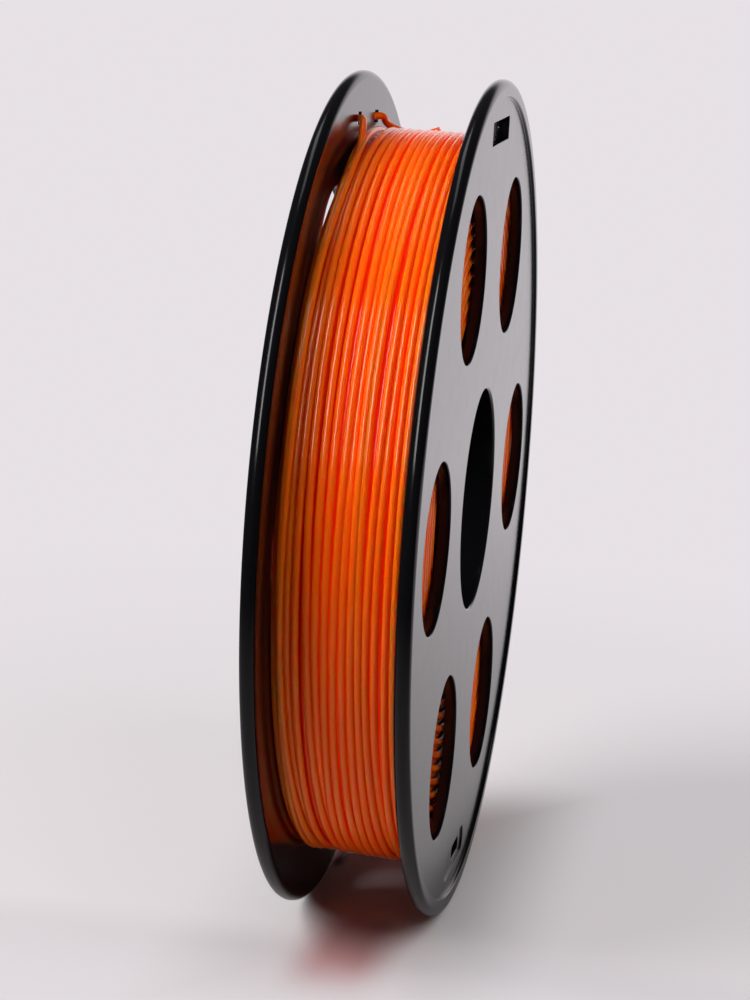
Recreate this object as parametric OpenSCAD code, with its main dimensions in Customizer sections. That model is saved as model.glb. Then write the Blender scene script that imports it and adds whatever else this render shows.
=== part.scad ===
// Filament spool, 1.75 mm strand, on a moulded reel: two identical flanges clipped
// to the two ends of one hub drum, with the strand wound on the drum between them.
//
// Millimetres, +Z up. The reel stands on its two rims and its axis lies along Y.
// The origin is on that axis, halfway between the flanges. The front flange is at -Y.
// Angles round the axis run from +X (0) over +Z (90) to -X (180).

/* [Flanges] */
// Outer diameter of both flanges, over the rim
flange_d = 200; // [192:1:215]
// Overall width, outside of one rim to outside of the other
overall_w = 37; // [35:0.5:60]
// Width of a rim bead, measured along the axis
rim_w = 3.7; // [3.7:0.1:5]
// Depth of a rim bead, measured towards the axis
rim_depth = 4; // [3:0.1:6]
// Radius on the two outer edges of a rim bead
rim_round = 1.8; // [0.5:0.05:1.8]
// Radius on the inner edge of the raised lip
lip_round = 0.35; // [0.1:0.05:0.6]
// How far the outer face lies below the rim's lip
face_recess = 0.8; // [0.3:0.1:1.0]

/* [Windows] */
// Number of round windows in a flange
window_count = 6; // [3:1:7]
// Diameter of a window
window_d = 38.5; // [20:0.5:39]
// Diameter of the circle that the window centres lie on
window_circle_d = 129; // [127:0.5:131]

/* [Bore] */
// Diameter of the spindle bore
bore_d = 53; // [30:0.5:55]
// Chamfer round the mouth of the bore
bore_chamfer = 0.6; // [0.2:0.1:1]
// Wall of the bore tube that stands on a flange
bore_wall = 2; // [1.2:0.1:2.2]

/* [Strand anchors] */
// Length of the pocket that the strand end is threaded through
pocket_len = 28; // [24:0.5:32]
// Height of the pocket
pocket_h = 5.4; // [4.8:0.1:6.2]
// Depth of the pocket below the outer face
pocket_depth = 2.1; // [2.1:0.05:2.4]
// From the outer edge of the flange to the middle of the pocket
pocket_inset = 11.9; // [9:0.1:12]
// Turn of the pocket from the middle between two windows, in degrees
pocket_turn = 1.2; // [0:0.1:3]
// Length of the hole at each end of the pocket
thread_hole_len = 5; // [5:0.1:6.5]
// Height of the hole at each end of the pocket
thread_hole_h = 3; // [2.4:0.1:3.4]
// Length of the shallow recess opposite the pocket
recess_len = 30; // [22:0.5:34]
// Height of the shallow recess
recess_h = 6.4; // [5:0.1:7]
// Depth of the shallow recess
recess_depth = 0.4; // [0.3:0.1:1.6]
// How far the shallow recess runs on to one side of its slot
recess_shift = 4; // [0:0.5:6]
// Length of the slot through the shallow recess
recess_slot_len = 11; // [8:0.5:16]
// Height of the slot through the shallow recess
recess_slot_h = 3.2; // [2.4:0.1:4]

/* [Hub drum] */
// Outer diameter of the drum that the strand is wound on
drum_d = 88; // [86:0.5:89]
// Wall of the drum
drum_wall = 2; // [1.6:0.1:2.4]
// Wall of the socket that holds the two bore tubes
socket_wall = 2; // [1.4:0.1:2.2]
// Thickness of the web across the middle of the drum
web_t = 2; // [1.6:0.1:3]
// Thickness of a rib beside the web
rib_t = 1.6; // [1.2:0.1:2.4]
// Height of the ribs, from the middle of the web
rib_h = 9; // [4:0.5:9.5]
// Width of a clip arm
clip_w = 8; // [6:0.5:9]
// Thickness of a clip arm
clip_t = 1.8; // [1.2:0.1:2]
// How far the clip's barb stands out
barb_out = 1.2; // [0.6:0.1:1.4]

/* [Strand] */
// Diameter of the strand
strand_d = 1.75; // [1.6:0.05:1.8]
// From the outer edge of the flange to the top of the wound strand
winding_inset = 13; // [13:0.5:20]
// Loops in the outer layer
loops = 11.5; // [8.5:1:11.5]
// Pitch of the outer layer
pitch = 2.2; // [1.95:0.05:2.2]
// From one loop that stands out at the side to the next, towards the axis
side_step = 3.12; // [2.8:0.02:3.6]
// How far these loops stand out from those between them
side_out = 1.1; // [0.6:0.05:1.2]
// Gap between these loops and the flange
side_gap = 0.4; // [0.2:0.05:0.6]

/* [Fits] */
// Running gap between pieces that slide together
fit_gap = 0.3; // [0.15:0.05:0.4]
// Gap between the drum's ends and the flanges
end_gap = 0.1; // [0.05:0.05:0.3]
// Gap between the strand and what it lies on
lay_gap = 0.2; // [0.15:0.05:0.25]

/* [Hidden] */

$fn = 96;
cut = 1;                                   // how far a cutting tool runs past a face

flange_r = flange_d / 2;
rim_out = overall_w / 2;                   // outside of the rim, from the middle plane
face_in = rim_out - rim_w;                 // inner face of a flange, from the middle plane
face_out = rim_out - face_recess;          // outer face of a flange, from the middle plane
bore_r = bore_d / 2;
drum_r = drum_d / 2;
drum_in_r = drum_r - drum_wall;

pocket_r = flange_r - pocket_inset;        // middle of the pocket, from the axis
pocket_floor = face_out - pocket_depth;
thread_hole_at = (pocket_len - thread_hole_len) / 2;
thread_hole_up = (pocket_h - thread_hole_h) / 2 - 0.3;

tube_out_r = bore_r + bore_wall;           // bore tube on a flange
socket_in_r = tube_out_r + fit_gap;        // socket in the drum
socket_out_r = socket_in_r + socket_wall;
spigot_out_r = drum_in_r - fit_gap;        // ring on a flange that centres the drum
spigot_wall = 1.8;
spigot_len = 4;
spigot_in_r = spigot_out_r - spigot_wall;

clip_count = 3;
clip_foot = 2.2;                           // clip arm beyond the web
clip_in_r = socket_out_r + 1.2;
clip_out_r = clip_in_r + clip_t;
barb_h = 1.6;
slot_clear = 0.5;

strand_r = strand_d / 2;
rings_per_loop = 24;
layer_sides = 6;
layer_r = flange_r - winding_inset - strand_r;   // middle of the strand, outer layer
layer_w = loops * pitch;                   // axial run of the outer layer
layer_end_y = layer_w / 2;
core_r = layer_r * cos(180 / rings_per_loop) - strand_r - lay_gap / 4;
core_half_w = face_in - side_gap - side_out;     // to the loops that lie back
core_in_r = drum_r + fit_gap;
side_first_r = core_r - strand_r;          // outermost loop that stands out
side_last = floor((side_first_r - strand_r - core_in_r) / side_step);
layer_first = 330;                         // angle where the outer layer begins
layer_last = layer_first - 360 * loops;    // angle where it leaves the winding
climb_turn = 14;                           // sector where the strand climbs up

inner_end_angle = 215;                     // where the strand is hooked into the drum
inner_end_y = -6;
inner_end_hole = strand_d + 0.9;
inner_end_bend = (drum_in_r - socket_out_r) / 4; // its tail lies halfway to the socket
inner_end_tail = 5;

// ---------- strand: points, rings and tubes ----------

function unit(v) = v / norm(v);
function polar(r, angle, y) = [r * cos(angle), y, r * sin(angle)];
function turn_of(p) = atan2(p[2], p[0]);
function reach_of(p) = norm([p[0], p[2]]);

// One ring of a tube, square to the path, its first corner pointing away from the axis
function ring(path, i, r, sides) =
    let (before = path[max(i - 1, 0)],
         after = path[min(i + 1, len(path) - 1)],
         along = unit(after - before),
         away = unit([path[i][0], 0, path[i][2]]),
         up = unit(away - (away * along) * along),
         side = cross(along, up))
    [for (k = [0 : sides - 1])
        path[i] + r * (cos(360 * k / sides) * up + sin(360 * k / sides) * side)];

function tube_rings(path, r, sides) = [for (i = [0 : len(path) - 1]) ring(path, i, r, sides)];

module tube(rings) {
    sides = len(rings[0]);
    last = (len(rings) - 1) * sides;
    walls = [for (i = [0 : len(rings) - 2], k = [0 : sides - 1])
        let (a = i * sides + k,
             b = i * sides + (k + 1) % sides)
        each [[a, a + sides, b + sides], [a, b + sides, b]]];
    first_cap = [for (k = [1 : sides - 2]) [0, k, k + 1]];
    last_cap = [for (k = [1 : sides - 2]) [last, last + k + 1, last + k]];
    polyhedron(points = [for (one = rings) each one],
               faces = concat(walls, first_cap, last_cap), convexity = 10);
}

// The outer layer: one helix, with a straight end one strand diameter long at each end
layer_steps = loops * rings_per_loop;
layer_helix = [for (i = [0 : layer_steps])
    polar(layer_r, layer_first - 360 * i / rings_per_loop,
          -layer_end_y + pitch * i / rings_per_loop)];
function helix_run(angle) =
    unit([layer_r * sin(angle), pitch / 360 * 180 / PI, -layer_r * cos(angle)]);
layer_start = layer_helix[0] - strand_d * helix_run(layer_first);
layer_end = layer_helix[layer_steps] + strand_d * helix_run(layer_last);
layer_path = concat([layer_start], layer_helix, [layer_end]);
layer_rings = tube_rings(layer_path, strand_r, layer_sides);

// Least distance between the corners of one loop and those of the next
layer_gap = min([for (i = [0 : len(layer_rings) - 1 - rings_per_loop + 1],
                      j = [rings_per_loop - 1 : rings_per_loop + 1])
    if (i + j < len(layer_rings))
        min([for (a = layer_rings[i], b = layer_rings[i + j]) norm(a - b)])]);
echo(least_gap_in_outer_layer = layer_gap);

// The outer end: off the winding, out through one hole of the rear flange's pocket,
// along the pocket, back in through the other hole, and over the winding to its cut
rear_pocket_angle = 90 - pocket_turn;
function rear_pocket(along, up, y) =
    [(pocket_r + up) * cos(rear_pocket_angle) + along * sin(rear_pocket_angle), y,
     (pocket_r + up) * sin(rear_pocket_angle) - along * cos(rear_pocket_angle)];
function around(along, reach, y) =
    polar(reach, rear_pocket_angle - along / reach * 180 / PI, y);

// A curve through the middle points of a list, with a few steps from each to the next
function curve_point(p, i, t) =
    0.5 * (2 * p[i] + (p[i + 1] - p[i - 1]) * t
           + (2 * p[i - 1] - 5 * p[i] + 4 * p[i + 1] - p[i + 2]) * t * t
           + (3 * p[i] - p[i - 1] - 3 * p[i + 1] + p[i + 2]) * t * t * t);
function curve(p, steps) =
    concat([for (i = [1 : len(p) - 3], k = [0 : steps - 1]) curve_point(p, i, k / steps)],
           [p[len(p) - 2]]);

hole_far = thread_hole_at + thread_hole_len / 2;
hole_near = thread_hole_at - thread_hole_len / 2;
inside_y = face_in - strand_r * 1.1 - lay_gap;
through_y = (face_in + pocket_floor) / 2;
pocket_y = pocket_floor + strand_r * 1.05 + lay_gap / 2;
strand_up = thread_hole_up;
leave_along = 28;                          // where it leaves the winding, from the pocket
leave_run = 6;                             // how far before and after that it still lies low

over_r = layer_r + strand_d + lay_gap;     // middle of a strand that crosses the winding
over_side = 11.2;                          // how far it runs on past the second hole
over_reach = 15;                           // how far it crosses the winding
over_first = 2;                            // how high it starts over the winding
over_tip = 2.6;                            // how high its cut end stands off the winding
over_lie = 0.62;                           // part of the way at which it touches the winding
over_steps = 6;
function over_up(t) = t < over_lie ? over_first * (1 - t / over_lie) ^ 2
                                   : over_tip * ((t - over_lie) / (1 - over_lie)) ^ 2;
function over_point(t) = around(hole_far + over_side * sin(90 * t), over_r + over_up(t),
                                inside_y - over_reach * (1 - cos(90 * t)));

full_turn = 360;
lie_steps = 8;
lie_from = turn_of(layer_end) > 0 ? turn_of(layer_end) : turn_of(layer_end) + full_turn;
lie_to = turn_of(around(-leave_along, layer_r, 0));
lie_path = [for (i = [1 : lie_steps - 1])
    polar(layer_r + (reach_of(layer_end) - layer_r) * (1 - i / lie_steps),
          lie_from + (lie_to - lie_from) * i / lie_steps, layer_end[1])];

thread_points = concat([
    around(-leave_along - leave_run, layer_r, layer_end_y),
    around(-leave_along, layer_r, layer_end_y),
    around(-leave_along + leave_run, layer_r + strand_r / 2, layer_end_y),
    rear_pocket(-hole_far - 2 * strand_d, strand_up - strand_d * 0.75,
                (layer_end_y + inside_y) / 2),
    rear_pocket(-hole_far, strand_up, inside_y),
    rear_pocket(-thread_hole_at, strand_up, through_y),
    rear_pocket(-hole_near, strand_up, pocket_y),
    rear_pocket(-hole_near / 2, strand_up, pocket_y),
    rear_pocket(hole_near / 2, strand_up, pocket_y),
    rear_pocket(hole_near, strand_up, pocket_y),
    rear_pocket(thread_hole_at, strand_up, through_y),
    rear_pocket(hole_far, strand_up, inside_y)],
    [for (i = [1 : over_steps + 1]) over_point(i / over_steps)]);

outer_end_path = concat([layer_end, layer_end + strand_d * helix_run(layer_last)],
                        lie_path, curve(thread_points, 3));

// ---------- flanges ----------

// Everything turned is drawn about Z, with z measured outwards from the middle plane
module facing_front() {
    rotate([90, 0, 0]) children();
}

module facing_rear() {
    rotate([0, 0, 180]) facing_front() children();
}

module round_box(len, h, r, t) {
    linear_extrude(t) {
        square([len - 2 * r, h], center = true);
        square([len, h - 2 * r], center = true);
        for (sx = [-1, 1], sy = [-1, 1])
            translate([sx * (len / 2 - r), sy * (h / 2 - r)]) circle(r);
    }
}

// Half section of a flange: plate, rim bead with its raised lip, and bore tube
module flange_section() {
    rim_in_r = flange_r - rim_depth;
    difference() {
        translate([bore_r, face_in]) square([rim_in_r - bore_r + cut, face_out - face_in]);
        polygon([[bore_r - cut, face_out + cut],
                 [bore_r - cut, face_out - bore_chamfer - cut],
                 [bore_r + bore_chamfer + cut, face_out + cut]]);
    }
    translate([rim_in_r, face_in]) square([rim_depth - rim_round, rim_w - lip_round]);
    translate([rim_in_r + lip_round, face_in])
        square([rim_depth - rim_round - lip_round, rim_w]);
    translate([rim_in_r + lip_round, rim_out - lip_round]) circle(lip_round);
    translate([rim_in_r, face_in + rim_round])
        square([rim_depth, rim_w - 2 * rim_round]);
    for (z = [face_in + rim_round, rim_out - rim_round])
        translate([flange_r - rim_round, z]) circle(rim_round);
    translate([bore_r, fit_gap / 2]) square([bore_wall, face_in]);
    translate([spigot_in_r, face_in - spigot_len]) square([spigot_wall, spigot_len + cut]);
}

// A clip: an arm that reaches through the web of the drum, with a barb behind it
module clip() {
    arm_len = face_in + web_t / 2 + clip_foot;
    translate([clip_in_r, -clip_w / 2, face_in - arm_len]) cube([clip_t, clip_w, arm_len + cut]);
    translate([clip_out_r, clip_w / 2, -web_t / 2 - fit_gap]) rotate([90, 0, 0])
        linear_extrude(clip_w)
            polygon([[-cut, 0], [barb_out, 0], [0, -barb_h], [-cut, -barb_h]]);
}

module flange() {
    difference() {
        union() {
            rotate_extrude() flange_section();
            for (k = [0 : clip_count - 1]) rotate([0, 0, 360 * k / clip_count]) clip();
        }
        for (k = [0 : window_count - 1])
            rotate([0, 0, 360 * k / window_count])
                translate([window_circle_d / 2, 0, face_in - cut])
                    cylinder(d = window_d, h = face_out - face_in + 2 * cut);
        rotate([0, 0, pocket_turn]) {
            translate([0, pocket_r, pocket_floor])
                round_box(pocket_len, pocket_h, 0.6, pocket_depth + cut);
            for (s = [-1, 1])
                translate([s * thread_hole_at, pocket_r + thread_hole_up, face_in - cut])
                    round_box(thread_hole_len, thread_hole_h, 0.6, pocket_floor - face_in + 2 * cut);
        }
        rotate([0, 0, pocket_turn]) translate([0, -pocket_r, 0]) {
            translate([-recess_shift, 0, face_out - recess_depth])
                round_box(recess_len, recess_h, recess_h / 2 - 0.01, recess_depth + cut);
            translate([0, 0, face_in - cut])
                round_box(recess_slot_len, recess_slot_h, recess_slot_h / 2 - 0.01,
                          face_out - face_in + 2 * cut);
        }
    }
}

module front_flange() {
    color([0.045, 0.045, 0.05]) facing_front() flange();
}

module rear_flange() {
    color([0.045, 0.045, 0.05]) facing_rear() flange();
}

// ---------- hub drum ----------

module tube_z(outer, inner, half) {
    rotate_extrude() translate([inner, -half]) square([outer - inner, 2 * half]);
}

module hub_drum() {
    half = face_in - end_gap;
    socket_half = face_in - 2.4;
    color([0.06, 0.06, 0.065]) facing_front() difference() {
        union() {
            tube_z(drum_r, drum_in_r, half);
            tube_z(socket_out_r, socket_in_r, socket_half);
            tube_z(drum_in_r + cut / 2, socket_in_r + cut / 2, web_t / 2);
            for (k = [0 : 2 * clip_count - 1])
                rotate([0, 0, 180 / clip_count * (k + 0.5)])
                    translate([socket_in_r + cut / 2, -rib_t / 2, -rib_h])
                        cube([drum_in_r - socket_in_r, rib_t, 2 * rib_h]);
        }
        // Slots in the web for the clips of both flanges
        for (k = [0 : 2 * clip_count - 1])
            rotate([0, 0, 180 / clip_count * k])
                translate([clip_in_r - slot_clear, -clip_w / 2 - slot_clear, -web_t / 2 - cut])
                    cube([clip_t + barb_out + 2 * slot_clear, clip_w + 2 * slot_clear,
                          web_t + 2 * cut]);
        // Hole that the inner end of the strand is hooked through
        rotate([0, 0, inner_end_angle]) translate([drum_in_r - cut, 0, -inner_end_y])
            rotate([0, 90, 0]) cylinder(d = inner_end_hole, h = drum_wall + 2 * cut);
    }
}

// ---------- strand ----------

// Inner end: through the drum's wall and bent over behind it
module strand_inner_end() {
    bend_r = drum_in_r - inner_end_bend;
    color([0.95, 0.36, 0.06]) facing_front()
        rotate([0, 0, inner_end_angle]) translate([0, 0, -inner_end_y]) {
            translate([bend_r, 0, 0]) rotate([0, 90, 0])
                cylinder(r = strand_r, h = core_in_r - bend_r);
            translate([bend_r, inner_end_bend, 0]) rotate([0, 0, 180])
                rotate_extrude(angle = 90) translate([inner_end_bend, 0]) circle(strand_r);
            translate([bend_r - inner_end_bend, inner_end_bend, 0]) rotate([-90, 0, 0])
                cylinder(r = strand_r, h = inner_end_tail);
        }
}

// The layers below the outer one: every second layer stands out a little at both sides.
// At one place the strand climbs out of them into the outer layer
module winding_core() {
    color([0.82, 0.24, 0.03]) {
        facing_front() rotate_extrude() {
            translate([core_in_r, -core_half_w])
                square([core_r - core_in_r, 2 * core_half_w]);
            for (side = [-1, 1], k = [0 : side_last])
                translate([side_first_r - k * side_step, side * core_half_w])
                    polygon([[-strand_r, -side * strand_r], [-strand_r, 0],
                             [-strand_r / 2, side * side_out], [strand_r / 2, side * side_out],
                             [strand_r, 0], [strand_r, -side * strand_r]]);
        }
        facing_front() rotate([0, 0, turn_of(layer_start)]) rotate_extrude(angle = climb_turn) {
            translate([layer_r, -layer_start[1]]) circle(strand_r);
            translate([core_r - strand_d, -layer_start[1] - strand_r / 2])
                square([layer_r - core_r + strand_d, strand_r]);
        }
    }
}

module winding_outer_layer() {
    color([0.98, 0.39, 0.06]) tube(layer_rings);
}

module strand_outer_end() {
    color([0.98, 0.42, 0.09]) tube(tube_rings(outer_end_path, strand_r, 8));
}

front_flange();
rear_flange();
hub_drum();
strand_inner_end();
winding_core();
winding_outer_layer();
strand_outer_end();
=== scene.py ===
import math

import bmesh
import bpy
import numpy as np
from mathutils import Matrix, Quaternion, Vector


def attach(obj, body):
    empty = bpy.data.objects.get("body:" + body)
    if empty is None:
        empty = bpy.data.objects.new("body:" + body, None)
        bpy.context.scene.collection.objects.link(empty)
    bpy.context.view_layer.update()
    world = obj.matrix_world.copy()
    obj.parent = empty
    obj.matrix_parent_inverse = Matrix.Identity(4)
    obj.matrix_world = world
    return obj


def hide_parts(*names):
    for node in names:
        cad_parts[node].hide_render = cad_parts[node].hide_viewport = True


# A reel of 1.75 mm printing strand: two like flanges of glossy black plastic, clipped to
# the two ends of a hub drum, with the orange strand wound on the drum between them.
# Metres, +Z up, standing on both rims, axle along Y; the front flange is at -Y. The reel's
# own sizes are millimetres, and become metres as each mesh is made.
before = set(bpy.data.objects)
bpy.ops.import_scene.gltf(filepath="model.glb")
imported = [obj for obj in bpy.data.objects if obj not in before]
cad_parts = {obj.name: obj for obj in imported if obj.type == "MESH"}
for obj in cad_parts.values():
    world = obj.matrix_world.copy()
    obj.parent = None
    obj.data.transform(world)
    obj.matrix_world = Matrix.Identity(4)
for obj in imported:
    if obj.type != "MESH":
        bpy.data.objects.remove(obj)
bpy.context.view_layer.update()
scene = bpy.context.scene
MM = 0.001


# ---------- Camera ----------
# A long lens a little above the axle, looking at the edge of the reel from the left of the
# front flange, so that the winding shows between the flanges and the front face is a sliver.
camera_place = Vector((-675.05, -104.57, 126.17)) * MM
camera_aim = Vector((0, 7.36, -2.55)) * MM
camera_tilt = math.radians(3.416)
sensor_width, lens_length = 36, 103.578

camera = bpy.data.objects.new("camera", bpy.data.cameras.new("camera"))
scene.collection.objects.link(camera)
scene.camera = camera
camera.data.sensor_width = sensor_width
camera.data.lens = lens_length
camera.location = camera_place
camera.rotation_mode = "QUATERNION"
aimed = (camera_aim - camera_place).to_track_quat("-Z", "Y")
camera.rotation_quaternion = aimed @ Quaternion((0, 0, 1), camera_tilt)
scene.view_settings.view_transform = "Standard"


# ---------- Table top ----------
# A sheet of pale paper that runs on into a pale surround. To the eye it carries painted shade:
# darker paper before the reel, a warm painted shade close before it, tinted as by the
# winding's light, and a dark painted shadow behind the rear rim's foot. To the reel's gloss
# it is painted darker, but for a pale part low down behind the reel and before its front face.
table_z = -100 * MM
table_rings = [0.15, 0.4, 1.0, 2.5, 6.0]
table_around = 64
table_colour = (0.61, 0.585, 0.60, 1)
# The paper as the reel's gloss sees it, painted darker: a painted shade in its reflections
table_painted_darker_in_gloss = (0.32, 0.30, 0.31, 1)
surround_colour = (0.80, 0.755, 0.785, 1)

# Painted shades as the eye sees them. Each pair is where a soft edge begins and ends, along the
# line of sight (X), across it (Y, or beside the middle) or out from the reel
painted_shade_before, before_reel = (0.475, 0.455, 0.475, 1), (-0.055, -0.030)
painted_warm_shade, warm_beside = (0.33, 0.185, 0.19, 1), (0.003, 0.015)
warm_begins, warm_ends = (-0.085, -0.050), (-0.030, -0.018)
painted_foot_shadow = (0.11, 0.055, 0.055, 1)
foot_begins, foot_ends = (0.010, 0.018), (0.050, 0.070)
foot_inside, foot_outside = (0.0115, 0.0145), (0.0170, 0.0195)

# How the paper turns into the glowing surround: to the eye, and then to the reel
paper_to_surround = (0.14, 0.42)
# Beside and beyond the reel this share of the glow is mixed into the paper to the eye: painted light
# that lightens its real shadows
softened_by, softened_beside, softened_beyond = 0.55, (0.014, 0.05), (0.06, 0.12)
front_fades, back_fades, between_fades = (0.08, 0.35), (0.0, 0.05), (0.08, 0.2)
clear_of_reel, level_with_reel = (-0.028, -0.016), (-0.05, 0.0)
dark_to_pale_behind, pale_to_dark_above = (0.80, 0.97), (0.22, 0.42)
dark_level, pale_level = 0.05, 1.25
near_share, all_pale_at = 0.38, 0.6


def add_node(tree, kind, **settings):
    """A shader node; a setting is the node's own, or else the value of its socket."""
    node = tree.nodes.new(kind)
    for name, value in settings.items():
        if hasattr(node, name):
            setattr(node, name, value)
        else:
            node.inputs[name].default_value = value
    return node


def link(tree, out_of, into):
    tree.links.new(out_of, into)


def add_object(name, mesh):
    piece = bpy.data.objects.new(name, mesh)
    scene.collection.objects.link(piece)
    return piece


def mesh_of(name, points, faces):
    mesh = bpy.data.meshes.new(name)
    mesh.from_pydata([tuple(p) for p in points], [], faces)
    mesh.update()
    return mesh


def table_top():
    """A disc whose rings widen outwards, so that its edge lies beyond all that is seen."""
    points = [(0, 0, table_z)]
    faces = []
    for r in table_rings:
        for k in range(table_around):
            a = 2 * math.pi * k / table_around
            points.append((r * math.cos(a), r * math.sin(a), table_z))
    for k in range(table_around):
        faces.append((0, 1 + k, 1 + (k + 1) % table_around))
    for i in range(len(table_rings) - 1):
        for k in range(table_around):
            a = 1 + i * table_around + k
            b = 1 + i * table_around + (k + 1) % table_around
            faces.append((a, a + table_around, b + table_around, b))
    return mesh_of("table_top", points, faces)


def ramp(tree, value, start, end, low=0.0, high=1.0, shape="SMOOTHSTEP"):
    """Low up to the start, high from the end on, and a smooth or linear way between them."""
    node = add_node(tree, "ShaderNodeMapRange", interpolation_type=shape)
    for socket, number in (("From Min", start), ("From Max", end), ("To Min", low), ("To Max", high)):
        node.inputs[socket].default_value = number
    link(tree, value, node.inputs["Value"])
    return node.outputs["Result"]


def number_from(tree, operation, a, b=None):
    node = add_node(tree, "ShaderNodeMath", operation=operation)
    link(tree, a, node.inputs[0])
    if isinstance(b, float):
        node.inputs[1].default_value = b
    elif b is not None:
        link(tree, b, node.inputs[1])
    return node.outputs["Value"]


def either_number(tree, factor, a, b):
    """a where the factor is 0 and b where it is 1; each is a number or a socket."""
    node = add_node(tree, "ShaderNodeMix", data_type="FLOAT")
    link(tree, factor, node.inputs["Factor"])
    for socket, value in (("A", a), ("B", b)):
        if isinstance(value, float):
            node.inputs[socket].default_value = value
        else:
            link(tree, value, node.inputs[socket])
    return node.outputs["Result"]


def either_colour(tree, factor, a, b):
    """The same for colours."""
    node = add_node(tree, "ShaderNodeMix", data_type="RGBA")
    link(tree, factor, node.inputs["Factor"])
    for socket, value in ((node.inputs["A"], a), (node.inputs["B"], b)):
        if isinstance(value, tuple):
            socket.default_value = value
        else:
            link(tree, value, socket)
    return node.outputs["Result"]


def between_edges(tree, value, begins, ends):
    """1 between two soft edges, 0 before the first and after the second."""
    return number_from(tree, "MULTIPLY", ramp(tree, value, *begins),
                       ramp(tree, value, *ends, 1.0, 0.0))


def low_behind(tree, direction):
    """1 low down on the far side of the reel, 0 elsewhere."""
    parts = add_node(tree, "ShaderNodeSeparateXYZ")
    link(tree, direction, parts.inputs["Vector"])
    behind = ramp(tree, parts.outputs["X"], *dark_to_pale_behind)
    low = ramp(tree, parts.outputs["Z"], *pale_to_dark_above, 1.0, 0.0)
    return either_number(tree, low, 0.0, behind)


def surround_level(tree, seen, behind, pale):
    """Pale all round to the eye; to the reel pale low down behind it, else a dark studio."""
    return either_number(tree, seen.outputs["Is Camera Ray"],
                         either_number(tree, behind, dark_level, pale), 1.0)


def paper_with_painted_shades(tree, seen, along, across, beside):
    """The paper with its painted shades to the eye, plain to the light and painted darker in the
    gloss.
    """
    before = ramp(tree, along, *before_reel, 1.0, 0.0)
    warm = number_from(tree, "MULTIPLY", between_edges(tree, along, warm_begins, warm_ends),
                       ramp(tree, beside, *warm_beside, 1.0, 0.0))
    foot = number_from(tree, "MULTIPLY", between_edges(tree, along, foot_begins, foot_ends),
                       between_edges(tree, across, foot_inside, foot_outside))
    plain = either_colour(tree, before, table_colour, painted_shade_before)
    warmed = either_colour(tree, warm, plain, painted_warm_shade)
    shaded = either_colour(tree, foot, warmed, painted_foot_shadow)
    not_in_gloss = either_colour(tree, seen.outputs["Is Camera Ray"], table_colour, shaded)
    return either_colour(tree, seen.outputs["Is Glossy Ray"], not_in_gloss, table_painted_darker_in_gloss)


def table_finish():
    finish = bpy.data.materials.new("table_finish")
    finish.use_nodes = True
    tree = finish.node_tree
    tree.nodes.remove(tree.nodes["Principled BSDF"])
    seen = add_node(tree, "ShaderNodeLightPath")
    where = add_node(tree, "ShaderNodeNewGeometry")
    sides = add_node(tree, "ShaderNodeSeparateXYZ")
    link(tree, where.outputs["Position"], sides.inputs["Vector"])
    along, across = sides.outputs["X"], sides.outputs["Y"]
    beside = number_from(tree, "ABSOLUTE", across)
    level = add_node(tree, "ShaderNodeVectorMath", operation="MULTIPLY")
    link(tree, where.outputs["Position"], level.inputs[0])
    level.inputs[1].default_value = (1, 1, 0)
    outwards = add_node(tree, "ShaderNodeVectorMath", operation="NORMALIZE")
    link(tree, level.outputs["Vector"], outwards.inputs[0])
    length = add_node(tree, "ShaderNodeVectorMath", operation="LENGTH")
    link(tree, level.outputs["Vector"], length.inputs[0])
    distance = length.outputs["Value"]

    paper = add_node(tree, "ShaderNodeBsdfDiffuse")
    link(tree, paper_with_painted_shades(tree, seen, along, across, beside), paper.inputs["Color"])

    clear = ramp(tree, across, *clear_of_reel, 1.0, 0.0)
    before_face = number_from(tree, "MULTIPLY", clear, ramp(tree, along, *level_with_reel))
    region = number_from(tree, "MAXIMUM", low_behind(tree, outwards.outputs["Vector"]), before_face)
    pale = ramp(tree, distance, 0.0, all_pale_at, near_share * pale_level, pale_level, "LINEAR")
    glow = add_node(tree, "ShaderNodeEmission", Color=surround_colour)
    link(tree, surround_level(tree, seen, region, pale), glow.inputs["Strength"])

    # Painted light: near the reel part of the glow is mixed in to the eye, which lightens the paper's
    # real shadows
    softened = number_from(tree, "MAXIMUM", ramp(tree, beside, *softened_beside, 0.0, softened_by),
                           ramp(tree, distance, *softened_beyond, 0.0, softened_by))
    to_the_eye = either_number(tree, ramp(tree, distance, *paper_to_surround), softened, 1.0)
    between = either_number(tree, clear, ramp(tree, distance, *between_fades),
                            ramp(tree, distance, *back_fades))
    to_the_reel = either_number(tree, region, ramp(tree, distance, *front_fades), between)
    either = add_node(tree, "ShaderNodeMixShader")
    link(tree, either_number(tree, seen.outputs["Is Camera Ray"], to_the_reel, to_the_eye),
         either.inputs["Fac"])
    link(tree, paper.outputs["BSDF"], either.inputs[1])
    link(tree, glow.outputs["Emission"], either.inputs[2])
    link(tree, either.outputs["Shader"], tree.nodes["Material Output"].inputs["Surface"])
    return finish


table = add_object("table_top", table_top())
table.data.materials.append(table_finish())


# ---------- Surround and lamps ----------
# A pale surround to the eye, which the reel sees as a dark studio, pale low down behind it.
# A soft box and a narrow strip overhead only show as reflections, and a light at each side
# and a wide panel overhead only light.
lamp_white = (1.0, 0.99, 0.98)

world = bpy.data.worlds.new("surround")
scene.world = world
world.use_nodes = True
tree = world.node_tree
tree.nodes.clear()
place = add_node(tree, "ShaderNodeTexCoord")
seen = add_node(tree, "ShaderNodeLightPath")
all_round = add_node(tree, "ShaderNodeBackground", Color=surround_colour)
link(tree, surround_level(tree, seen, low_behind(tree, place.outputs["Generated"]), pale_level),
     all_round.inputs["Strength"])
world_out = add_node(tree, "ShaderNodeOutputWorld")
link(tree, all_round.outputs["Background"], world_out.inputs["Surface"])


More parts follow.
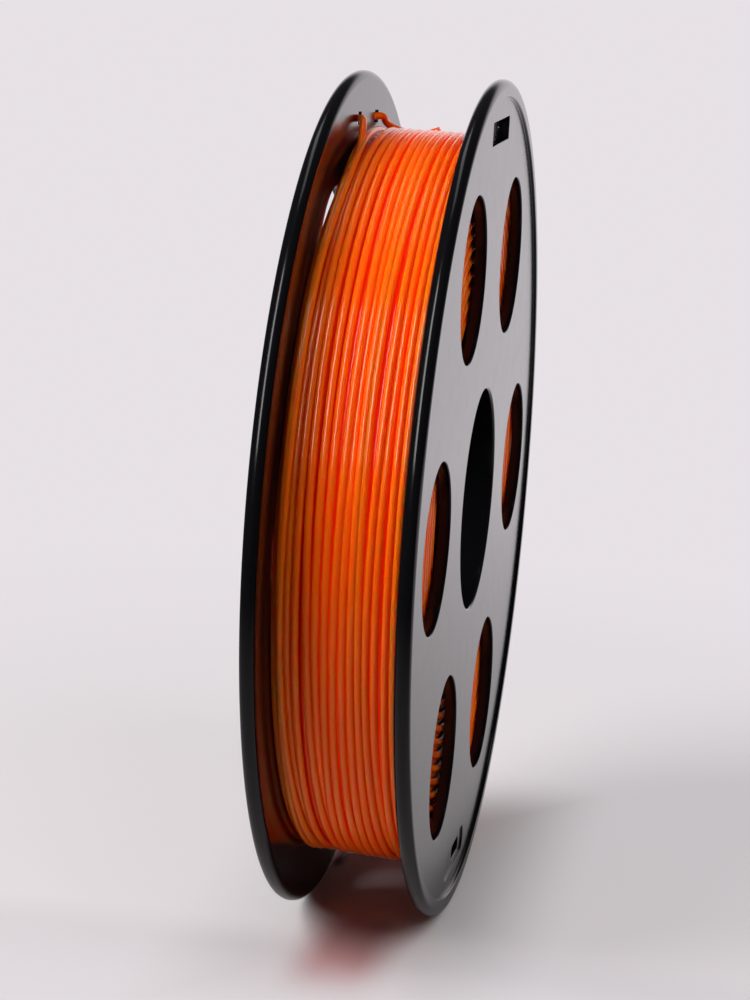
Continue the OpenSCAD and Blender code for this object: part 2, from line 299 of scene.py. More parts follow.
def add_lamp(name, direction, away, size, power, colour=lamp_white, mirrored=True, lights=True):
    """A rectangular lamp that faces the reel from the given direction."""
    lamp = bpy.data.lights.new(name, "AREA")
    lamp.shape = "RECTANGLE"
    lamp.size, lamp.size_y = size
    lamp.energy = power
    lamp.color = colour
    holder = bpy.data.objects.new(name, lamp)
    scene.collection.objects.link(holder)
    towards = Vector(direction).normalized()
    holder.location = towards * away
    holder.rotation_mode = "QUATERNION"
    holder.rotation_quaternion = (-towards).to_track_quat("-Z", "Y")
    holder.visible_glossy = mirrored
    holder.visible_diffuse = lights


add_lamp("soft_box", (-0.72, 0.28, 0.66), away=1.3, size=(0.4, 1.15), power=14,
         colour=(1.0, 0.985, 0.97), lights=False)
add_lamp("strip_overhead", (0.25, 0.15, 0.95), away=1.3, size=(0.35, 0.9), power=1.6,
         colour=(0.95, 0.97, 1.0), lights=False)
add_lamp("left_light", (-0.5, 0.62, 0.56), away=1.5, size=(1.0, 1.0), power=37.5, mirrored=False)
add_lamp("right_light", (-0.42, -0.55, 0.72), away=1.5, size=(1.0, 1.0), power=12, mirrored=False)
add_lamp("overhead_panel", (0, 0.1, 1), away=1.5, size=(3, 3), power=7, mirrored=False)


# ---------- Flanges ----------
# Two like mouldings in glossy black plastic: a plate with six round windows and a rim bead,
# and behind it a bore tube, a ring that centres the drum and three clip arms, which snap
# through the drum's web. The rear one is turned half round the upright.
# Reaches from the axle, ending in _r, and depths from the middle plane outwards
flange_r = 100
rim_out = 18.5
face_out = 17.7
face_in = 14.8
rim_in_r = 96
rim_round = 1.8
lip_round = 0.35
lip_foot = 0.25
bore_r = 26.5
bore_lip = 0.6
tube_out_r = 28.5
tube_end = 0.15
ring_out_r, ring_in_r = 41.7, 39.9
ring_end = 10.8
wall_end_round = 0.25
inside_corner = 0.3
arm_count = 3
arm_in_r, arm_out_r = 32, 33.8
arm_half = 4
arm_end = -3.2
barb_from, barb_to, barb_out = -1.3, -2.9, 1.2
window_count = 6
window_r, window_at = 19.25, 64.5
window_edge = 0.3
pocket_at, pocket_turn = 88.1, math.radians(1.2)
pocket_len, pocket_h, pocket_floor, pocket_floor_round = 28, 5.4, 15.6, 0.3
hole_len, hole_h, hole_at, hole_up = 5, 3, 11.5, 0.9
hole_edge, hole_edge_most = 0.15, 0.35
recess_len, recess_h, recess_floor, recess_floor_round, recess_shift = 30, 6.4, 17.3, 0.16, -4
slot_len, slot_h = 11, 3.2
short_of_round = 0.05  # what the corners of a round-ended cut lack of half its height
corner = 0.6
least_corner = 0.02
fine_edge = 0.22
flare_turn = math.radians(76)
past = 1.0  # how far a cutter reaches past the face it breaks through
turned_steps = 256
sharp_from = math.radians(38)
touching = 1e-7
square_to_axle = 0.99999
black_low, black_high = (0.0016, 0.0016, 0.0022, 1), (0.0030, 0.0030, 0.0038, 1)


def rounded_section(corners, steps=7):
    """A closed outline in (reach, depth) with each corner rounded to its own radius."""
    outline = []
    count = len(corners)
    for i, (r, s, radius) in enumerate(corners):
        here = np.array([r, s], float)
        before = np.array(corners[i - 1][:2], float) - here
        after = np.array(corners[(i + 1) % count][:2], float) - here
        before /= np.linalg.norm(before)
        after /= np.linalg.norm(after)
        half = math.acos(np.clip(before @ after, -1, 1)) / 2
        back = radius / math.tan(half)
        middle = here + (before + after) / np.linalg.norm(before + after) * radius / math.sin(half)
        first = here + before * back - middle
        last = here + after * back - middle
        sweep = math.acos(np.clip(first @ last / radius**2, -1, 1))
        for k in range(steps + 1):
            t = k / steps
            a, b = math.sin((1 - t) * sweep), math.sin(t * sweep)
            outline.append(middle + (a * first + b * last) / math.sin(sweep))
    return outline


def turned(name, section, steps):
    """The outline turned about the axle; depth runs out from the middle plane, to -Y."""
    points = []
    faces = []
    n = len(section)
    for k in range(steps):
        a = 2 * math.pi * k / steps
        for r, s in section:
            points.append((r * math.cos(a) * MM, -s * MM, r * math.sin(a) * MM))
    for k in range(steps):
        a, b = k * n, (k + 1) % steps * n
        for i in range(n):
            j = (i + 1) % n
            faces.append((a + i, b + i, b + j, a + j))
    return mesh_of(name, points, faces)


def face_outwards(mesh):
    """Turn every face of closed solids outwards."""
    shape = bmesh.new()
    shape.from_mesh(mesh)
    bmesh.ops.recalc_face_normals(shape, faces=shape.faces)
    shape.to_mesh(mesh)
    shape.free()


def round_outline(radius, steps=96):
    """The edge of a round window, and how it grows by a flare."""
    def grown(flare):
        turn = np.linspace(0, 2 * math.pi, steps, endpoint=False)
        return np.stack([(radius + flare) * np.cos(turn), (radius + flare) * np.sin(turn)], 1)
    return grown


def box_outline(length, height, radius, steps=7):
    """The edge of a pocket or slot with rounded corners, and how it grows by a flare."""
    def grown(flare):
        points = []
        for quarter, (sx, sy) in enumerate([(1, 1), (-1, 1), (-1, -1), (1, -1)]):
            for k in range(steps + 1):
                a = math.pi / 2 * (quarter + k / steps)
                reach = max(radius + flare, least_corner)
                cx = sx * (length / 2 + flare - reach)
                cy = sy * (height / 2 + flare - reach)
                points.append((cx + reach * math.cos(a), cy + reach * math.sin(a)))
        return np.array(points)
    return grown


def flared_mouth(face, outwards, edge, steps=5):
    """Levels of a cutter where it breaks through a face and leaves a rounded edge there."""
    levels = []
    for k in range(steps + 1):
        a = flare_turn * k / steps
        depth = face - outwards * edge * (1 - math.sin(a))
        levels.append((depth, edge * (1 - math.cos(a))))
    depth, flare = levels[-1]
    levels.append((depth + outwards * past * math.cos(a), flare + past * math.sin(a)))
    return levels


def rounded_floor(floor, edge, steps=4):
    """Levels of a cutter where it stops at a floor, with a small radius round it."""
    levels = []
    for k in range(steps + 1):
        a = math.pi / 2 * k / steps
        levels.append((floor + edge * (1 - math.cos(a)), -edge * (1 - math.sin(a))))
    return levels


def cutter_rings(outline, levels, across, up, turn):
    """The outline at each level, moved across and up the flange and turned about its axle."""
    rings = []
    c, s = math.cos(turn), math.sin(turn)
    for depth, flare in levels:
        flat = outline(flare) + np.array([across, up])
        x = flat[:, 0] * c - flat[:, 1] * s
        z = flat[:, 0] * s + flat[:, 1] * c
        rings.append(np.stack([x, np.full_like(x, -depth), z], 1) * MM)
    return rings


def cutter_mesh(name, all_rings):
    """Closed solids through their rings, as one mesh."""
    points = []
    faces = []
    for rings in all_rings:
        start = len(points)
        n = len(rings[0])
        for one in rings:
            points.extend(one.tolist())
        for i in range(len(rings) - 1):
            for k in range(n):
                a = start + i * n + k
                b = start + i * n + (k + 1) % n
                faces.append((a, b, b + n, a + n))
        faces.append(tuple(start + k for k in reversed(range(n))))
        faces.append(tuple(start + (len(rings) - 1) * n + k for k in range(n)))
    mesh = mesh_of(name, points, faces)
    face_outwards(mesh)
    return mesh


def worked(name, mesh, tool_mesh, operation):
    """The mesh after a cutter is taken from it, or a second solid is joined to it."""
    body = add_object(name, mesh)
    tool = add_object(name + "_tool", tool_mesh)
    step = body.modifiers.new("work", "BOOLEAN")
    step.operation = operation
    step.solver = "EXACT"
    step.object = tool
    bpy.context.view_layer.update()
    done = bpy.data.meshes.new_from_object(body.evaluated_get(bpy.context.evaluated_depsgraph_get()))
    bpy.data.objects.remove(body)
    bpy.data.objects.remove(tool)
    bpy.data.meshes.remove(mesh)
    bpy.data.meshes.remove(tool_mesh)
    done.name = name
    return done


def clip_rings():
    """The clip arms, each a flat bar with a barb at its end, given by its two flanks."""
    flank = [(arm_in_r, face_in + past), (arm_in_r, arm_end), (arm_out_r, arm_end),
             (arm_out_r, barb_to), (arm_out_r + barb_out, barb_from), (arm_out_r, barb_from),
             (arm_out_r, face_in + past)]
    made = []
    for k in range(arm_count):
        a = 2 * math.pi * k / arm_count
        rings = []
        for across in (-arm_half, arm_half):
            rings.append(np.array([(r * math.cos(a) - across * math.sin(a), -s,
                                    r * math.sin(a) + across * math.cos(a))
                                   for r, s in flank]) * MM)
        made.append(rings)
    return made


def smooth_but_flat_faces(mesh):
    """Round parts shade smoothly; the plate's flat faces stay truly flat."""
    shape = bmesh.new()
    shape.from_mesh(mesh)
    bmesh.ops.remove_doubles(shape, verts=shape.verts, dist=touching)
    bmesh.ops.dissolve_degenerate(shape, edges=shape.edges, dist=touching)
    shape.to_mesh(mesh)
    shape.free()
    mesh.set_sharp_from_angle(angle=sharp_from)
    for face in mesh.polygons:
        face.use_smooth = abs(face.normal.y) < square_to_axle


flange_section = rounded_section([
    (bore_r, tube_end, wall_end_round), (bore_r, face_out, bore_lip),
    (rim_in_r, face_out, lip_foot), (rim_in_r, rim_out, lip_round),
    (flange_r, rim_out, rim_round), (flange_r, face_in, rim_round),
    (ring_out_r, face_in, inside_corner), (ring_out_r, ring_end, wall_end_round),
    (ring_in_r, ring_end, wall_end_round), (ring_in_r, face_in, inside_corner),
    (tube_out_r, face_in, inside_corner), (tube_out_r, tube_end, wall_end_round)])
flange_mesh = turned("front_flange_moulding", flange_section, turned_steps)
face_outwards(flange_mesh)
flange_mesh = worked("clipped", flange_mesh, cutter_mesh("clips", clip_rings()), "UNION")

# The windows, the pocket for the strand's end and the shallow recess across from it
window_levels = (flared_mouth(face_in, -1, window_edge)[::-1]
                 + flared_mouth(face_out, 1, window_edge))
pocket_levels = (rounded_floor(pocket_floor, pocket_floor_round)
                 + flared_mouth(face_out, 1, fine_edge))
recess_levels = (rounded_floor(recess_floor, recess_floor_round)
                 + flared_mouth(face_out, 1, fine_edge))
first_cuts = [cutter_rings(round_outline(window_r), window_levels,
                           window_at, 0, 2 * math.pi / window_count * k)
              for k in range(window_count)]
first_cuts.append(cutter_rings(box_outline(pocket_len, pocket_h, corner), pocket_levels,
                               0, pocket_at, pocket_turn))
first_cuts.append(cutter_rings(box_outline(recess_len, recess_h, recess_h / 2 - short_of_round),
                               recess_levels, recess_shift, -pocket_at, pocket_turn))
flange_mesh = worked("windowed", flange_mesh, cutter_mesh("first_cuts", first_cuts), "DIFFERENCE")

# The two holes for the strand's end through the pocket's floor, and the slot through the recess
hole_levels = [(depth, min(flare, hole_edge_most))
               for depth, flare in (flared_mouth(face_in, -1, hole_edge)[::-1]
                                    + flared_mouth(pocket_floor, 1, hole_edge))]
slot_levels = (flared_mouth(face_in, -1, fine_edge)[::-1]
               + flared_mouth(recess_floor, 1, fine_edge))
second_cuts = [cutter_rings(box_outline(hole_len, hole_h, corner), hole_levels,
                            side * hole_at, pocket_at + hole_up, pocket_turn)
               for side in (-1, 1)]
second_cuts.append(cutter_rings(box_outline(slot_len, slot_h, slot_h / 2 - short_of_round),
                                slot_levels, 0, -pocket_at, pocket_turn))
flange_mesh = worked("front_flange_moulding", flange_mesh,
                     cutter_mesh("second_cuts", second_cuts), "DIFFERENCE")
smooth_but_flat_faces(flange_mesh)


def noise(tree, place, scale, detail, roughness):
    """Unevenness that stays put on the piece."""
    node = add_node(tree, "ShaderNodeTexNoise", Scale=scale, Detail=detail, Roughness=roughness)
    link(tree, place.outputs["Object"], node.inputs["Vector"])
    return node.outputs["Fac"]


def bump(tree, height, strength, distance, over=None):
    """Fine relief, laid over a coarser one where there is one."""
    node = add_node(tree, "ShaderNodeBump", Strength=strength, Distance=distance)
    link(tree, height, node.inputs["Height"])
    if over is not None:
        link(tree, over, node.inputs["Normal"])
    return node.outputs["Normal"]


def black_finish(name, smoothest, roughest):
    """Moulded black plastic: slow waves from its flow, a faint grain and an uneven haze."""
    finish = bpy.data.materials.new(name)
    finish.use_nodes = True
    tree = finish.node_tree
    surface = tree.nodes["Principled BSDF"]
    surface.inputs["IOR"].default_value = 1.37
    place = add_node(tree, "ShaderNodeTexCoord")
    flow = noise(tree, place, scale=22.0, detail=3.0, roughness=0.5)
    haze = noise(tree, place, scale=160.0, detail=4.0, roughness=0.6)
    grain = noise(tree, place, scale=2600.0, detail=2.0, roughness=0.5)
    link(tree, either_colour(tree, flow, black_low, black_high), surface.inputs["Base Color"])
    link(tree, ramp(tree, haze, 0.0, 1.0, smoothest, roughest, "LINEAR"),
         surface.inputs["Roughness"])
    waves = bump(tree, flow, strength=0.35, distance=0.04 * MM)
    skin = bump(tree, grain, strength=0.12, distance=0.006 * MM, over=waves)
    link(tree, skin, surface.inputs["Normal"])
    return finish


flange_mesh.materials.append(black_finish("black_gloss_plastic", smoothest=0.13, roughest=0.19))
front_flange = add_object("front_flange_moulding", flange_mesh)
rear_mesh = flange_mesh.copy()
rear_mesh.name = "rear_flange_moulding"
rear_mesh.transform(Matrix.Rotation(math.pi, 4, "Z"))
rear_flange = add_object("rear_flange_moulding", rear_mesh)
for moulding, node in ((front_flange, "front_flange"), (rear_flange, "rear_flange")):
    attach(moulding, "root")
    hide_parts(node)


# ---------- Hub drum ----------
# The moulded drum that carries the winding: outer wall, socket for the two bore tubes, web
# and ribs. Satin black plastic, out of sight but for slits, so the CAD solid serves as it is.
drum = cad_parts["hub_drum"]
drum.data.materials.clear()
drum.data.materials.append(black_finish("black_satin_plastic", smoothest=0.28, roughest=0.42))


# ---------- Strand: the loops of the outer layer and the threaded end ----------
# One orange extruded strand, 1.75 mm thick. The outer layer runs from the front flange to
# the rear one. Some of its loops have slipped down between their neighbours. Its end goes
# out and in through the two holes of the rear pocket, over the winding and is snipped off.
# Turns are degrees round the axle, 90 at the top and 180 on the camera's side
strand_r = 0.875
strand_sides = 16
steps_round = 120
layer_r = 86.125
first_turn, first_place = 348, -12.65
climb_turn, climb_rise = 22, 1.7
read_at = [235, 200, 150, 112]
# Where each loop lies along the axle at those four turns, from the front loop to the rear
loop_places = [
    [-11.8, -12.4, -12.6, -12.7], [-9.8, -10.6, -10.7, -11.0], [-7.9, -8.3, -8.6, -9.0],
    [-6.6, -6.4, -7.0, -7.2], [-4.5, -4.8, -4.15, -4.9], [-2.5, -3.1, -2.8, -3.2],
    [-0.6, -1.2, -1.1, -1.4], [1.7, 0.8, 0.35, 0.3], [3.6, 2.7, 3.0, 2.7],
    [4.7, 4.6, 5.2, 5.0], [5.7, 6.4, 7.7, 7.0], [8.7, 9.05, 9.5, 9.1],
    [9.9, 10.8, 10.95, 10.2], [11.2, 12.4, 13.0, 11.9]]
slipped_loops = [2, 6, 9, 12]
slip_eased_over = 9  # steps along the strand
# On the far side the loops lie evenly
behind_at, behind_first, behind_step = -10, -11.2, 1.85
sag, sag_at, sag_width = 1.3, 262, 32
sag_full, sag_none = -12.0, 8.0


def smooth_through(at, knots, values):
    """A smooth line through the values at the knots, which fall as the strand winds on."""
    knots = np.array(knots[::-1], float)
    values = np.array(values[::-1], float)
    slope = np.gradient(values, knots)
    i = np.clip(np.searchsorted(knots, at) - 1, 0, len(knots) - 2)
    gap = knots[i + 1] - knots[i]
    t = (at - knots[i]) / gap
    return ((2 * t**3 - 3 * t**2 + 1) * values[i] + (t**3 - 2 * t**2 + t) * gap * slope[i]
            + (3 * t**2 - 2 * t**3) * values[i + 1] + (t**3 - t**2) * gap * slope[i + 1])


def on_winding(reach, turn_deg, y):
    """A point at a reach from the axle, some degrees round it and y along it."""
    a = np.radians(turn_deg)
    return np.stack([reach * np.cos(a), y, reach * np.sin(a)], -1)


knots, places = [first_turn], [first_place]
for i, loop in enumerate(loop_places):
    for turn, y in zip(read_at, loop):
        knots.append(turn - 360 * i)
        places.append(y)
    if i < len(loop_places) - 1:
        knots.append(behind_at - 360 * i)
        places.append(behind_first + behind_step * i)
last_turn = read_at[-1] - 360 * (len(loop_places) - 1)
turns = np.arange(first_turn, last_turn - 0.01, -360 / steps_round)
along = smooth_through(turns, knots, places)
# Which loop each step belongs to: one ends and the next begins on the far side
loop_of = np.floor((360 + behind_at - turns) / 360).astype(int)
loop_of = np.clip(loop_of, 0, len(loop_places) - 1)
slipped = np.isin(loop_of, slipped_loops)

# A slipped loop lies as deep as its two neighbours let it, a strand's thickness from both
sink = np.zeros_like(along)
for i in np.flatnonzero(slipped):
    for j in (i - steps_round, i + steps_round):
        if 0 <= j < len(turns):
            apart = abs(along[i] - along[j])
            sink[i] = max(sink[i], math.sqrt(max(0, (2 * strand_r)**2 - apart**2)))
share = np.hanning(slip_eased_over)
sink = np.pad(sink, slip_eased_over // 2, mode="edge")
sink = np.convolve(sink, share / share.sum(), mode="valid")
# The first loop starts low and climbs on to the layer below it
climb = np.clip((turns - (first_turn - climb_turn)) / climb_turn, 0, 1)
reach = layer_r - sink - climb_rise * climb**2 * (3 - 2 * climb)
# Low down in front the loops hang a little, most of all beside the front flange
off_low = (turns - sag_at + 180) % 360 - 180
reach += sag * np.exp(-(off_low / sag_width)**2) * np.interp(along, (sag_full, sag_none), (1, 0))
layer_path = on_winding(reach, turns, along)

# The end: the same way as the solid's, in millimetres from the middle of the rear pocket
rear_angle = math.pi / 2 - pocket_turn
lay_gap = 0.2
inside_y = face_in - 1.1 * strand_r - lay_gap
through_y = (face_in + pocket_floor) / 2
lies_y = pocket_floor + 1.05 * strand_r + lay_gap / 2
hole_far, hole_near = hole_at + hole_len / 2, hole_at - hole_len / 2
# Where it leaves its loop, lifts off the winding and slants up to the first hole
before_end_turn = 118
leaves_at, leaves_y = -28, -0.1
lifts_at, lifts_y = -22, 0.3
enters_before, enters_below = 3.5, 1.3
# Past the second hole it turns in over the winding, touches it and stands up at its tip
over_r = layer_r + 2 * strand_r + lay_gap
over_side, over_reach, over_first, over_tip, over_lie = 11.2, 12.6, 2, 1.7, 0.62
over_steps, curve_steps = 6, 8


def in_pocket(along_x, up, y):
    """A point along the rear pocket and up from its middle line."""
    reach_up = pocket_at + up
    return [reach_up * math.cos(rear_angle) + along_x * math.sin(rear_angle), y,
            reach_up * math.sin(rear_angle) - along_x * math.cos(rear_angle)]


def round_winding(along_x, reach_here, y):
    """The same way along, but bent round the winding."""
    a = rear_angle - along_x / reach_here
    return [reach_here * math.cos(a), y, reach_here * math.sin(a)]


def over_winding(t):
    """The cut end, which runs on past the second hole and turns in over the winding."""
    if t < over_lie:
        lift = over_first * (1 - t / over_lie)**2
    else:
        lift = over_tip * ((t - over_lie) / (1 - over_lie))**2
    return round_winding(hole_far + over_side * math.sin(math.pi / 2 * t), over_r + lift,
                         inside_y - over_reach * (1 - math.cos(math.pi / 2 * t)))


end_y = along[-1]
end_points = [
    on_winding(layer_r, before_end_turn, along[-3]).tolist(),
    layer_path[-1].tolist(),
    round_winding(leaves_at, layer_r, end_y + leaves_y),
    round_winding(lifts_at, layer_r + strand_r / 2, end_y + lifts_y),
    in_pocket(-hole_far - enters_before, hole_up - enters_below, (end_y + inside_y) / 2),
    in_pocket(-hole_far, hole_up, inside_y),
    in_pocket(-hole_at, hole_up, through_y),
    in_pocket(-hole_near, hole_up, lies_y),
    in_pocket(-hole_near / 2, hole_up, lies_y),
    in_pocket(hole_near / 2, hole_up, lies_y),
    in_pocket(hole_near, hole_up, lies_y),
    in_pocket(hole_at, hole_up, through_y),
    in_pocket(hole_far, hole_up, inside_y)]
# The last of these is past the tip, and only steers the curve
for step in range(1, over_steps + 2):
    end_points.append(over_winding(step / over_steps))


def curve_through(points, steps):
    """A smooth curve through the middle points of a list."""
    points = np.array(points, float)
    made = []
    for i in range(1, len(points) - 2):
        a, b, c, d = points[i - 1:i + 3]
        for k in range(steps):
            t = k / steps
            made.append(0.5 * (2 * b + (c - a) * t + (2 * a - 5 * b + 4 * c - d) * t * t
                               + (3 * b - a - 3 * c + d) * t**3))
    made.append(points[-2])
    return np.array(made)


def rings_about(path, run, up, sides):
    """Rings square to the run of the path, the first corner of each pointing up."""
    side = np.cross(run, up)
    turn = np.linspace(0, 2 * math.pi, sides, endpoint=False)[None, :, None]
    return path[:, None] + strand_r * (np.cos(turn) * up[:, None] + np.sin(turn) * side[:, None])


def strand_rings(path, sides):
    """Rings along a wound strand, for which up is away from the axle."""
    before = np.vstack([path[:1], path[:-1]])
    after = np.vstack([path[1:], path[-1:]])
    run = after - before
    run /= np.linalg.norm(run, axis=1)[:, None]
    away = path * np.array([1, 0, 1])
    away /= np.linalg.norm(away, axis=1)[:, None]
    up = away - (away * run).sum(1)[:, None] * run
    up /= np.linalg.norm(up, axis=1)[:, None]
    return rings_about(path, run, up, sides)


def strand_mesh(name, all_rings):
    """Closed tubes from their rings, each with a flat snipped end."""
    points = []
    faces = []
    ends = []
    for rings in all_rings:
        start = len(points)
        n = rings.shape[1]
        points.extend((rings.reshape(-1, 3) * MM).tolist())
        for i in range(len(rings) - 1):
            a = start + i * n
            for k in range(n):
                b = (k + 1) % n
                faces.append((a + k, a + n + k, a + n + b, a + b))
        ends.append(len(faces))
        faces.append(tuple(start + k for k in range(n)))
        ends.append(len(faces))
        faces.append(tuple(start + (len(rings) - 1) * n + k for k in reversed(range(n))))
    mesh = mesh_of(name, points, faces)
    for face in mesh.polygons:
        face.use_smooth = True
    for i in ends:
        mesh.polygons[i].use_smooth = False
    face_outwards(mesh)
    return mesh


whole_path = np.vstack([layer_path[:-1], curve_through(end_points, curve_steps)])
whole_rings = strand_rings(whole_path, strand_sides)
split = len(layer_path) - 1
top_layer = add_object("wound_strand_top_layer",
                       strand_mesh("wound_strand_top_layer", [whole_rings[:split + 1]]))
threaded_end = add_object("strand_end_in_pocket",
                          strand_mesh("strand_end_in_pocket", [whole_rings[split:]]))

bright_orange, dull_orange = (0.84, 0.140, 0.004, 1), (0.82, 0.112, 0.003, 1)
strand_smoothest, strand_roughest = 0.11, 0.17
# The outside of the winding, and how far below it the painted red shade turns to orange and
# the painted glow ends
crown_r, crown_y = 87.0, 14.4
painted_gap_red, red_to_orange = (0.99, 0.026, 0.0008, 1), (-2.0, -1.1)
painted_glow_colour, painted_glow_ends = (1.0, 0.045, 0.002, 1), (-1.0, -0.58)
# The painted glow is stronger high up than low down, where the light falls, and fades towards
# the rear flange, whose shade lies on the loops beside it
painted_glow_heights, painted_glow_levels = (-80, 60), (0.07, 0.13)
painted_glow_fades, painted_glow_rear_share = (1.0, 9.0), 0.15


def in_metres(pair):
    return [value * MM for value in pair]


def strand_finish(name, bright, dull, paints_glow=False):
    """Glossy see-through plastic, a little uneven in colour, with a painted redder shade where it
    lies deep between the loops.
    Where asked, a painted glow between the loops of the outer layer stands in for the light the
    strand carries."""
    finish = bpy.data.materials.new(name)
    finish.use_nodes = True
    tree = finish.node_tree
    surface = tree.nodes["Principled BSDF"]
    surface.inputs["IOR"].default_value = 1.42
    surface.inputs["Subsurface Weight"].default_value = 1.0
    surface.inputs["Subsurface Radius"].default_value = (1.0, 0.12, 0.02)
    surface.inputs["Subsurface Scale"].default_value = 0.003
    place = add_node(tree, "ShaderNodeTexCoord")
    drift = noise(tree, place, scale=60.0, detail=3.0, roughness=0.5)
    smear = noise(tree, place, scale=500.0, detail=3.0, roughness=0.6)

    across = add_node(tree, "ShaderNodeVectorMath", operation="MULTIPLY")
    link(tree, place.outputs["Object"], across.inputs[0])
    across.inputs[1].default_value = (1, 0, 1)
    from_axle = add_node(tree, "ShaderNodeVectorMath", operation="LENGTH")
    link(tree, across.outputs["Vector"], from_axle.inputs[0])
    parts = add_node(tree, "ShaderNodeSeparateXYZ")
    link(tree, place.outputs["Object"], parts.inputs["Vector"])
    beside = number_from(tree, "ABSOLUTE", parts.outputs["Y"])
    depth = number_from(tree, "MAXIMUM",
                        number_from(tree, "SUBTRACT", from_axle.outputs["Value"], crown_r * MM),
                        number_from(tree, "SUBTRACT", beside, crown_y * MM))
    uneven = either_colour(tree, drift, dull, bright)
    # Painted shade: below the winding's outside the strand is painted redder, for the redder light
    # that lies between the loops
    near_crown = ramp(tree, depth, *in_metres(red_to_orange))
    link(tree, either_colour(tree, near_crown, painted_gap_red, uneven), surface.inputs["Base Color"])
    # Painted light: a glow between the loops, stronger high up and fading towards the rear flange
    if paints_glow:
        lit = ramp(tree, parts.outputs["Z"], *in_metres(painted_glow_heights), *painted_glow_levels)
        sides = ramp(tree, parts.outputs["Y"], *in_metres(painted_glow_fades), 1.0, painted_glow_rear_share)
        between = ramp(tree, depth, *in_metres(painted_glow_ends), 1.0, 0.0)
        painted_glow = number_from(tree, "MULTIPLY", number_from(tree, "MULTIPLY", lit, sides), between)
        surface.inputs["Emission Color"].default_value = painted_glow_colour
        link(tree, painted_glow, surface.inputs["Emission Strength"])
    link(tree, ramp(tree, smear, 0.0, 1.0, strand_smoothest, strand_roughest, "LINEAR"),
         surface.inputs["Roughness"])
    link(tree, bump(tree, drift, strength=0.05, distance=0.02 * MM), surface.inputs["Normal"])
    return finish


orange = strand_finish("orange_strand", bright_orange, dull_orange)
# A copy of the finish with the painted glow, for the outer and under layers
orange_with_painted_glow = strand_finish("orange_strand_painted_glow", bright_orange, dull_orange, paints_glow=True)
for piece, finish, node in ((top_layer, orange_with_painted_glow, "winding_outer_layer"),
                            (threaded_end, orange, "strand_outer_end")):
    piece.data.materials.append(finish)
    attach(piece, "root")
    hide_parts(node)


# ---------- Strand: the layers below ----------
# The same strand, wound to and fro on the drum. The layer under the outer one slopes the
# other way and shows in the gaps. At each side the last loops of the layers show through
# the windows, every second one standing out.
under_r = 84.45
under_pitch = 1.85
under_half = 12.1
under_from = 20
hidden_steps, hidden_sides = 90, 10
side_first_r, side_step, side_count = 44.59, 1.60, 26
side_out, side_in = 13.5, 12.6
side_climb = 34
side_wander, wander_in, wander_out = 0.16, -1, 0.2
wander_every, wander_seeds = 60, (3, 5)
side_starts = 300, 40
touches, pressed_loops = 13.88, 4
slack_at, slack_width, side_slack = 116, 14, 1.1
body_half = 12.2
body_out_r = 83.6
body_in_r = 44.3
body_out_round, body_in_round, body_round_steps = 1.0, 0.3, 3
body_steps = 128
# The inside's orange, painted darker for the shade it lies in
painted_shade_bright, painted_shade_dull = (0.62, 0.055, 0.003, 1), (0.45, 0.03, 0.002, 1)

turns = np.arange(0, 360 * 2 * under_half / under_pitch, 360 / hidden_steps)
under_path = on_winding(np.full_like(turns, under_r), under_from - turns,
                        under_half - under_pitch * turns / 360)
under_layer = add_object("wound_strand_under_layer", strand_mesh(
    "wound_strand_under_layer", [strand_rings(under_path, hidden_sides)]))


def side_path(side, start, seed):
    """Loop on loop up one side: each climbs in a short stretch and lies in or out in turn."""
    turn = np.arange(0, 360 * side_count + 1, 360 / hidden_steps)
    loop = np.floor(turn / 360)
    rise = np.clip((turn - 360 * loop) / side_climb, 0, 1)
    rise = rise**2 * (3 - 2 * rise)
    reach_here = side_first_r + side_step * (loop + rise)
    out_now = (loop % 2) * (1 - rise) + ((loop + 1) % 2) * rise
    depth = side_in + (side_out - side_in) * out_now
    shuffle = np.random.default_rng(seed)
    knots = np.arange(0, 360 * side_count + wander_every + 1, wander_every)
    wander = shuffle.uniform(wander_in, wander_out, len(knots))
    depth = depth + side_wander * np.interp(turn, knots, wander)
    # The last outer loops are pressed against the flange, and at one place the rear ones are slack
    pressed = np.clip((loop - side_count + pressed_loops + 1) / 2, 0, 1)
    depth = depth + (touches - depth) * pressed * np.where(out_now > 0.5, 1, 0)
    off_spot = (start - turn - slack_at + 180) % 360 - 180
    depth = depth - side_slack * pressed * np.exp(-(off_spot / slack_width)**2) * (side > 0)
    reach_here = np.maximum(reach_here, body_in_r + strand_r)
    return on_winding(reach_here, start - turn, side * depth)


side_turns = add_object("wound_strand_side_loops", strand_mesh("wound_strand_side_loops", [
    strand_rings(side_path(side, start, seed), hidden_sides)
    for side, start, seed in zip((-1, 1), side_starts, wander_seeds)]))

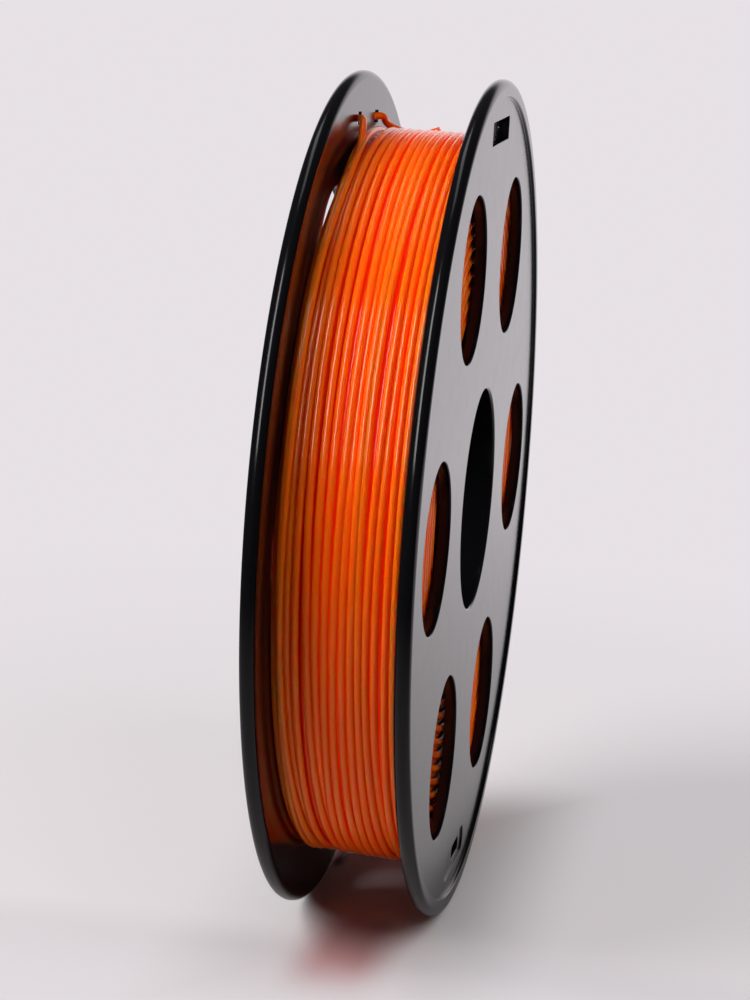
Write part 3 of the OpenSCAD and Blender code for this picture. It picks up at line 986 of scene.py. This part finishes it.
# What lies deeper can't be told apart loop by loop, and is one ring with rounded edges
body_section = rounded_section([
    (body_in_r, -body_half, body_in_round), (body_in_r, body_half, body_in_round),
    (body_out_r, body_half, body_out_round), (body_out_r, -body_half, body_out_round)],
    body_round_steps)
wound_body = add_object("wound_strand_inside",
                        turned("wound_strand_inside", body_section, body_steps))
face_outwards(wound_body.data)
wound_body.data.shade_smooth()
wound_body.data.set_sharp_from_angle(angle=sharp_from)

orange_painted_shaded = strand_finish("orange_strand_painted_shade", painted_shade_bright, painted_shade_dull)
# The inside takes the copy of the finish painted darker for its shade, the under layer the one with
# the painted glow
for piece, finish, slot in ((under_layer, orange_with_painted_glow, "strand"), (side_turns, orange, "strand"),
                            (wound_body, orange_painted_shaded, "strand_shaded")):
    piece.data.materials.append(finish)
    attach(piece, "root")
    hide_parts("winding_core")


# ---------- Strand: the inner end ----------
# The first 15 mm of the strand, the same plastic: through a hole in the drum's wall and bent
# over behind it, which keeps the first loop from slipping.
inner_angle = math.radians(215)
inner_y = -6
inner_from_r, inner_to_r = 44.6, 39.6
inner_step = 0.5
inner_bend, bend_from_r, bend_steps = 2.8, 39.2, 9
inner_tail = 5

straight_steps = round((inner_from_r - inner_to_r) / inner_step)
inner_path = [(inner_from_r - inner_step * k, 0) for k in range(straight_steps + 1)]
for k in range(1, bend_steps + 1):
    a = math.pi / 2 * k / bend_steps
    inner_path.append((bend_from_r - inner_bend * math.sin(a), inner_bend * (1 - math.cos(a))))
for k in range(1, inner_tail + 1):
    inner_path.append((bend_from_r - inner_bend, inner_bend + k))
c, s = math.cos(inner_angle), math.sin(inner_angle)
inner_points = np.array([(r * c - t * s, inner_y, r * s + t * c) for r, t in inner_path])
inner_run = np.gradient(inner_points, axis=0)
inner_run /= np.linalg.norm(inner_run, axis=1)[:, None]
along_axle = np.tile([0.0, 1.0, 0.0], (len(inner_points), 1))

inner_end = add_object("strand_end_in_drum", strand_mesh(
    "strand_end_in_drum", [rings_about(inner_points, inner_run, along_axle, strand_sides)]))
inner_end.data.materials.append(orange)
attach(inner_end, "root")
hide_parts("strand_inner_end")
